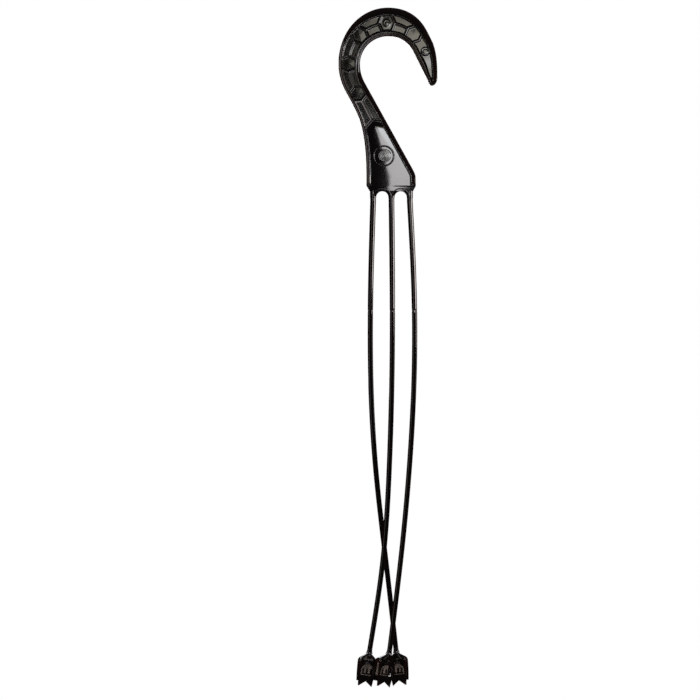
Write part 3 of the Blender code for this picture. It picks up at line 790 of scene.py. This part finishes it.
def makeBar(side, shape=strandShape):
    # the upper part: the bar outline along the strand, rounded off at its lower end
    root = spot(f"{side}_strand_spread")
    length = spot(f"{side}_neck_bend")[2] - root[2]
    rows = shape["aboveRows"]
    above = np.linspace(1, 0, rows + 1)[:-1, None] * np.array((0, 0, shape["aboveRoot"])) + root
    share = np.linspace(0, shape["barShare"], shape["barRows"])
    line = np.vstack((above, strandLine(side, share)))
    done = np.concatenate((np.zeros(rows), share / shape["barShare"]))
    left = (1 - done) * shape["barShare"] * -length / shape["shoulder"]
    draw = 0.84 + 0.16 * np.sqrt(1 - (1 - np.clip(left, 0, 1)) ** 2)
    unit = barOutline(shape["barWidth"], shape["barDepth"], shape)
    scale = (1 + (shape["barEndWidth"] / shape["barWidth"] - 1) * done) * draw
    points, faces = ringSurface(sweep(line, unit[None] * scale[:, None, None]))
    flank = np.abs(unit[:, 0]) / shape["barWidth"] * 2
    # painted light: a warm tint on the flanks
    thin = np.concatenate((np.tile(0.55 * smoothStep(flank, 0.6, 1.0), len(line)), (0, 0)))
    piece = makePiece(f"{side}StrandBar", points * mm, faces, "strand", edge=thin)
    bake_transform(piece)
    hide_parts(f"{side}_strand_bar")
    return piece


def makeRod(side, shape=strandShape):
    # the round lower part, bent over the neck's pivot, with a fine parting line on both sides
    neck = spot(f"{side}_neck_bend")
    down = -np.array(joints[f"{side}_clip_turn"]["axis"])
    reach = np.linalg.norm(neck - spot(f"{side}_strand_spread"))
    share = np.linspace(shape["barShare"] - 1.0 / reach, 1, shape["rodRows"])
    below = neck + down * np.linspace(0, 1.5, 5)[1:, None]
    line = np.vstack((strandLine(side, share), below))
    done = np.linspace(0, 1, len(line))
    radius = shape["rodRadius"] + (shape["rodEndRadius"] - shape["rodRadius"]) * done
    step = np.arange(len(line)) * reach * (1 - shape["barShare"]) / shape["rodRows"]
    radius = radius * (0.92 + 0.08 * smoothStep(step, 0.4, 2.6))
    turn = np.linspace(0, 2 * np.pi, shape["rodSides"], endpoint=False)
    seam = 1 + shape["seamHeight"] * np.exp(-(np.sin(turn) / 0.12) ** 2) / shape["rodRadius"]
    circle = np.stack((np.cos(turn), np.sin(turn)), axis=-1) * seam[:, None]
    points, faces = ringSurface(sweep(line, circle[None] * radius[:, None, None]))
    # painted light: a warm tint on the two sides of the rod
    thin = np.concatenate((np.tile(0.35 * np.cos(turn) ** 4, len(line)), (0, 0)))
    piece = makePiece(f"{side}StrandRod", points * mm, faces, "strand", edge=thin)
    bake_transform(piece)
    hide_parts(f"{side}_strand_rod")
    return piece


neckShape = {
    "profile": (  # distance below the pivot, radius
        (0.7, 1.30), (0.75, 1.60), (1.1, 1.70), (1.7, 1.73), (2.3, 1.80), (2.9, 1.95), (3.4, 2.15),
        (3.70, 2.30), (3.78, 2.28), (3.82, 1.9),
    ),
    "turns": 48,
}


def makeNeck(side, shape=neckShape):
    # a profile turned about the neck's own axis
    neck = spot(f"{side}_neck_bend")
    down = -np.array(joints[f"{side}_clip_turn"]["axis"])
    right = np.cross((0, 1, 0), down)
    right = right / np.linalg.norm(right)
    back = np.cross(down, right)
    drop, radius = np.array(shape["profile"]).T
    turn = np.linspace(0, 2 * np.pi, shape["turns"], endpoint=False)[None, :, None]
    circle = right * np.cos(turn) + back * np.sin(turn)
    rings = neck + down * drop[:, None, None] + radius[:, None, None] * circle
    points, faces = ringSurface(rings)
    piece = makePiece(f"{side}Neck", points * mm, faces, "neck")
    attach(piece, f"{side}_neck")
    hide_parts(f"{side}_neck")
    return piece


for side in strandShape["bow"]:
    makeBar(side)
    makeRod(side)
    makeNeck(side)
print("strands and necks made")


clipShape = {
    "roof": (  # height, half width, half depth, middle in depth, squareness
        (-0.15, 1.95, 1.95, -3.20, 2.0), (-0.5, 2.25, 2.10, -3.10, 2.1), (-1.3, 3.20, 2.60, -2.50, 2.6),
        (-2.4, 4.50, 3.35, -1.35, 3.4), (-3.4, 5.45, 4.00, -0.45, 4.6), (-4.3, 5.85, 4.26, -0.04, 6.0),
        (-5.2, 5.90, 4.30, 0.0, 8.0), (-6.4, 5.86, 4.30, 0.0, 9.0),
    ),
    "shoulder": -5.0,
    "width": 5.88,
    "footWidth": 4.6,
    "foot": -21.6,
    "backFoot": -18.8,
    "notch": 3.3,
    "wallOut": 4.3,
    "wallIn": 3.0,
    "corner": 0.7,  # cut off the upright corners
    "window": (4.0, -14.2, -10.6, -7.3),  # half width, sill, spring line, crown
    "setback": 3.2,
    "topRows": 25,  # points on the outline's top edge, on a side and on half the foot
    "sideRows": 25,
    "toothRows": 12,
    "voxel": 0.17,
    "rounds": 2,
}


def clipFrame(side):
    # origin over the middle of the rim slot, and the clip's own axes, from its two joints
    up = np.array(joints[f"{side}_clip_turn"]["axis"])
    right = np.array(joints[f"{side}_latch_flex"]["axis"])
    back = np.cross(up, right)
    return spot(f"{side}_clip_turn") + back * clipShape["setback"], np.stack((right, back, up))


def roofForm(shape=clipShape):
    # rounded squares, |x/a|^n + |y/b|^n = 1, stacked from the neck down to the seat
    turn = np.linspace(0, 2 * np.pi, 96, endpoint=False)
    rows = np.array(shape["roof"])
    place = np.linspace(0, len(rows) - 1, 40)
    columns = [np.interp(place, np.arange(len(rows)), column)[:, None] for column in rows.T]
    height, halfX, halfY, middle, square = columns
    x = halfX * squareUp(np.cos(turn), square)
    y = middle + halfY * squareUp(np.sin(turn), square)
    return ringSurface(np.stack((x, y, height + 0 * x), axis=-1))


def wallOutline(foot, notch, shape=clipShape):
    # top edge, right side, two runs of the foot with the notch between them, left side
    down = np.linspace(0, 1, shape["sideRows"])
    half = shape["footWidth"] + (shape["width"] - shape["footWidth"]) * (1 - down ** 1.7)
    z = shape["shoulder"] + (shape["foot"] - shape["shoulder"]) * down
    keep = z > foot
    right = np.stack((half, np.maximum(z, foot)), axis=-1)
    right[~keep, 0] = half[keep][-1]
    corner = right[-1]
    tooth = np.linspace(0, 1, shape["toothRows"] + 1)[1:, None] * np.array((-corner[0], notch)) + corner
    side = np.vstack((right, tooth))
    x = np.linspace(-shape["width"], shape["width"], shape["topRows"] + 2)[1:-1]
    top = np.stack((x, np.full(len(x), shape["shoulder"])), axis=-1)
    return np.vstack((top, side, (side[:-1] * (-1, 1))[::-1]))


def windowOutline(shape=clipShape):
    # the arch over the top edge's points, then side, sill, side, with as many points as the wall
    half, sill, spring, crown = shape["window"]
    turn = np.linspace(np.pi, 0, shape["topRows"] + 2)[1:-1]
    arch = np.stack((half * np.cos(turn), spring + (crown - spring) * np.sin(turn)), axis=-1)
    z = np.linspace(spring, sill, shape["sideRows"])
    right = np.stack((np.full(len(z), half), z), axis=-1)
    x = np.linspace(half, 0, shape["toothRows"] + 1)[1:]
    sillRow = np.stack((x, np.full(len(x), sill)), axis=-1)
    side = np.vstack((right, sillRow))
    return np.vstack((arch, side, (side[:-1] * (-1, 1))[::-1]))


def backForm(shape=clipShape):
    # the plain back wall: its outline pushed from the inner to the outer face
    outline = wallOutline(shape["backFoot"], 0)
    corner = shape["wallOut"] - shape["corner"]
    level = np.array((shape["wallIn"], corner, shape["wallOut"]))[:, None]
    x = outline[:, 0] * np.array((1, 1, 1 - shape["corner"] / shape["width"]))[:, None]
    z = outline[:, 1] + 0 * level
    return ringSurface(np.stack((x, level + 0 * x, z), axis=-1))


def frontForm(shape=clipShape):
    # a closed strip carried round the window: outer face, window edge, inner face, outer edge
    outline = wallOutline(shape["foot"], shape["notch"])
    window = windowOutline()
    share = np.linspace(0, 1, 9)[None, :, None]
    outer = outline * np.array((1 - shape["corner"] / shape["width"], 1))
    strips = (
        (-shape["wallOut"], outer[:, None] * (1 - share) + window[:, None] * share),
        (-shape["wallIn"], window[:, None] * (1 - share) + outline[:, None] * share),
        (shape["corner"] - shape["wallOut"], outline[:, None]),
    )
    skins = [
        np.stack((part[..., 0], np.full(part.shape[:2], y), part[..., 1]), axis=-1)
        for y, part in strips
    ]
    rings = np.concatenate(skins, axis=1)
    rows, columns = rings.shape[:2]
    quads = gridQuads(rows + 1, columns) % (rows * columns)
    return rings.reshape(-1, 3), quads.tolist()


def lumpForm(centre, half, square=4.0, count=24):
    # |x/a|^n + |y/b|^n + |z/c|^n about 1: a rounded block
    turn = np.linspace(0, 2 * np.pi, 2 * count, endpoint=False)[None, :]
    rise = np.linspace(-np.pi / 2, np.pi / 2, count + 1)[1:-1, None]
    x = squareUp(np.cos(rise), square) * squareUp(np.cos(turn), square) * half[0]
    y = squareUp(np.cos(rise), square) * squareUp(np.sin(turn), square) * half[1]
    z = squareUp(np.sin(rise), square) * half[2] + 0 * turn
    return ringSurface(np.stack((x, y, z), axis=-1) + np.array(centre))


def makeClips(shape=clipShape):
    # roof, two walls and a small catch lump in one skin, copied into each clip's place
    forms = [roofForm(), frontForm(), backForm()]
    forms.append(lumpForm((0, -4.15, -5.0), (0.75, 0.42, 0.85)))
    forms.append(lumpForm((0, -4.1, -6.25), (1.9, 0.36, 0.32)))
    points, faces = mouldSkin(forms, shape["voxel"], shape["rounds"])
    print("clip skin:", len(faces), "faces")
    # painted light: a warm tint on the sides and along the foot
    thin = 0.5 * smoothStep(np.abs(points[:, 0]), 4.6, 5.9) + 0.5 * smoothStep(-points[:, 2], 18, 21.5)
    # painted reflection: this mask picks out the inner face of the back wall behind the window, which
    # the clip material paints light beige
    inside = smoothStep(3.5 - np.abs(points[:, 1] - 0.1), 0, 0.4) * smoothStep(points[:, 1], 2.2, 2.8)
    inside = inside * smoothStep(4.3 - np.abs(points[:, 0]), 0, 0.5)
    hollow = inside * smoothStep(-points[:, 2], 6.4, 7.0) * smoothStep(points[:, 2] + 15.5, 0, 1.5)
    for side in strandShape["bow"]:
        origin, axes = clipFrame(side)
        placed = (origin + points @ axes) * mm
        piece = makePiece(f"{side}ClipShell", placed, faces, "clip", thin, hollow)
        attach(piece, f"{side}_clip")
        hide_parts(f"{side}_clip_shell")


latchShape = {
    "depth": -3.65,
    "height": -13.35,
    "lean": 4.0,
    "rail": (3.5, 0.40, 0.55),
    "finger": 3.6,
    "fingerHalf": 0.62,
    "fingerDeep": 0.4,
    "square": 3.2,
    "tipFrom": 0.72,  # share of the height where the blunt tip starts
    "tipLength": 0.28,
    "pitch": 2.5,
    "voxel": 0.09,
}


def fingerForm(x, shape=latchShape):
    # rounded squares that narrow towards a blunt tip
    rise = np.linspace(0, 1, 24)[:, None]
    tip = np.sqrt(1 - np.clip((rise - shape["tipFrom"]) / shape["tipLength"], 0, 1) ** 2).clip(0.06)
    half = shape["fingerHalf"] * (1 - 0.12 * rise) * tip
    turn = np.linspace(0, 2 * np.pi, 40, endpoint=False)[None, :]
    across = half * squareUp(np.cos(turn), shape["square"])
    deep = shape["fingerDeep"] * tip ** 0.5 * squareUp(np.sin(turn), shape["square"])
    z = shape["rail"][2] * 0.5 + shape["finger"] * rise + 0 * turn
    return ringSurface(np.stack((x + across, deep, z), axis=-1))


def makeLatches(shape=latchShape):
    # a rail with three upright fingers, leaning back a little
    forms = [lumpForm((0, 0, 0), shape["rail"], 7.0)]
    forms += [fingerForm(x) for x in (-shape["pitch"], 0, shape["pitch"])]
    points, faces = mouldSkin(forms, shape["voxel"], 2)
    lean = shape["lean"] * toRadians
    tilt = np.array(((1, 0, 0), (0, np.cos(lean), -np.sin(lean)), (0, np.sin(lean), np.cos(lean))))
    local = points @ tilt + np.array((0, shape["depth"], shape["height"]))
    for side in strandShape["bow"]:
        origin, axes = clipFrame(side)
        piece = makePiece(f"{side}LatchComb", (origin + local @ axes) * mm, faces, "latch")
        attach(piece, f"{side}_latch")
        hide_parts(f"{side}_latch_comb")


makeClips()
makeLatches()
print("clips and latches made")


studio = {
    "floorDrop": 0.032,
    "floorRadius": 0.20,
    "floorRings": 12,
    "floorTurns": 96,
    "floorGlow": 0.42,
    "camera": (-0.0251, -3.0, -0.2069),
    "lens": 234.0,
    "lights": {  # place, aim, width, height, brightness, colour
        "tallPanel": ((0.135, -0.5, -0.061), (0.135, 0, -0.061), 0.27, 0.064, 9.5, (1.0, 0.98, 0.98)),
        "beakPanel": ((0.145, -0.5, -0.018), (0.145, 0, -0.018), 0.25, 0.034, 14.0, (0.95, 0.97, 1.0)),
        "hookPanel": ((0.0315, -0.5, 0.024), (0.0315, 0, 0.024), 0.088, 0.05, 4.2, (1.0, 0.96, 0.80)),
        "leftStrip": ((-0.55, -0.45, -0.06), (0, 0, -0.06), 0.14, 0.6, 1.8, (1.0, 0.88, 0.85)),
        "lowGlow": ((0, -0.5, -0.62), (0, 0, -0.02), 0.7, 0.18, 1.0, (1.0, 0.94, 0.90)),
        "leftBack": ((-0.60, 0.05, 0.008), (-0.02, 0, -0.02), 0.36, 0.085, 10.0, (1.0, 0.93, 0.91)),
        "rightGlow": ((0.60, -0.17, -0.105), (0, 0, -0.105), 0.10, 0.17, 17.0, (1.0, 0.90, 0.87)),
        "rightStrip": ((0.62, 0.1, -0.08), (0, 0, -0.06), 0.12, 0.34, 3.0, (1.0, 0.93, 0.90)),
        "backPanel": ((-0.17, 0.6, -0.09), (-0.1, 0, -0.09), 0.32, 0.3, 3.5, (0.95, 0.97, 1.0)),
        "overhead": ((0.0, 0.15, 0.9), (0, 0, -0.1), 0.35, 0.35, 2.0, (1.0, 0.98, 0.96)),
    },
}


def makeFloor():
    # a round pale sheet below the clips, rings out from its middle, left out of reflections
    count, turns = studio["floorRings"], studio["floorTurns"]
    radius = np.linspace(0.001, studio["floorRadius"], count)[:, None]
    turn = np.linspace(0, 2 * np.pi, turns, endpoint=False)[None, :]
    level = cadLow.z - studio["floorDrop"]
    rings = np.stack((radius * np.cos(turn), radius * np.sin(turn), level + 0 * radius * turn), axis=-1)
    points = rings.reshape(-1, 3)
    mesh = bpy.data.meshes.new("paleFloor")
    faces = gridQuads(count, turns)[:, ::-1].tolist() + [list(range(turns))]
    mesh.from_pydata(points.tolist(), [], faces)
    material = bpy.data.materials.new("paleFloorPaint")
    material.use_nodes = True
    shader = material.node_tree.nodes["Principled BSDF"]
    shader.inputs["Base Color"].default_value = (0.86, 0.86, 0.85, 1)
    shader.inputs["Emission Color"].default_value = (1.0, 1.0, 0.99, 1)
    shader.inputs["Emission Strength"].default_value = studio["floorGlow"]
    shader.inputs["Roughness"].default_value = 0.7
    mesh.materials.append(material)
    floor = bpy.data.objects.new("paleFloor", mesh)
    bpy.context.scene.collection.objects.link(floor)
    floor.visible_glossy = False


def makeLight(name, place, aim, width, height, brightness, colour):
    # a softbox; its power is its brightness spread over its face
    data = bpy.data.lights.new(name, "AREA")
    data.shape = "RECTANGLE"
    data.size, data.size_y = width, height
    data.energy = brightness * np.pi * width * height
    data.color = colour
    light = bpy.data.objects.new(name, data)
    bpy.context.scene.collection.objects.link(light)
    light.location = place
    light.rotation_euler = (Vector(aim) - Vector(place)).to_track_quat("-Z", "Y").to_euler()
    light.visible_camera = False


def makeWorld():
    # white behind the object, a dim soft room in the reflections
    world = bpy.data.worlds.new("studioRoom")
    bpy.context.scene.world = world
    world.use_nodes = True
    tree = world.node_tree
    room = tree.nodes["Background"]
    white = addNode(tree, "ShaderNodeBackground", Strength=1.0)
    white.inputs["Color"].default_value = (1, 1, 1, 1)
    place = addNode(tree, "ShaderNodeTexCoord")
    split = addNode(tree, "ShaderNodeSeparateXYZ")
    tree.links.new(place.outputs["Generated"], split.inputs["Vector"])
    rise = addNode(tree, "ShaderNodeMapRange")
    rise.inputs["From Min"].default_value = -1.0
    tree.links.new(split.outputs["Z"], rise.inputs["Value"])
    ramp = addNode(tree, "ShaderNodeValToRGB")
    ramp.color_ramp.elements[0].color = (0.050, 0.036, 0.034, 1)
    ramp.color_ramp.elements[1].color = (0.060, 0.060, 0.066, 1)
    middle = ramp.color_ramp.elements.new(0.5)
    middle.color = (0.012, 0.010, 0.010, 1)
    tree.links.new(rise.outputs["Result"], ramp.inputs["Fac"])
    tree.links.new(ramp.outputs["Color"], room.inputs["Color"])
    room.inputs["Strength"].default_value = 1.0
    ray = addNode(tree, "ShaderNodeLightPath")
    mix = addNode(tree, "ShaderNodeMixShader")
    tree.links.new(ray.outputs["Is Camera Ray"], mix.inputs["Fac"])
    tree.links.new(room.outputs["Background"], mix.inputs[1])
    tree.links.new(white.outputs["Background"], mix.inputs[2])
    tree.links.new(mix.outputs["Shader"], tree.nodes["World Output"].inputs["Surface"])


makeFloor()
for name, values in studio["lights"].items():
    makeLight(name, *values)
makeWorld()
eye = bpy.data.cameras.new("studioCamera")
eye.lens = studio["lens"]
camera = bpy.data.objects.new("studioCamera", eye)
camera.location = studio["camera"]
camera.rotation_euler = (np.pi / 2, 0, 0)
bpy.context.scene.collection.objects.link(camera)
bpy.context.scene.camera = camera
bpy.context.scene.view_settings.view_transform = "Standard"
print("floor, light and camera made")
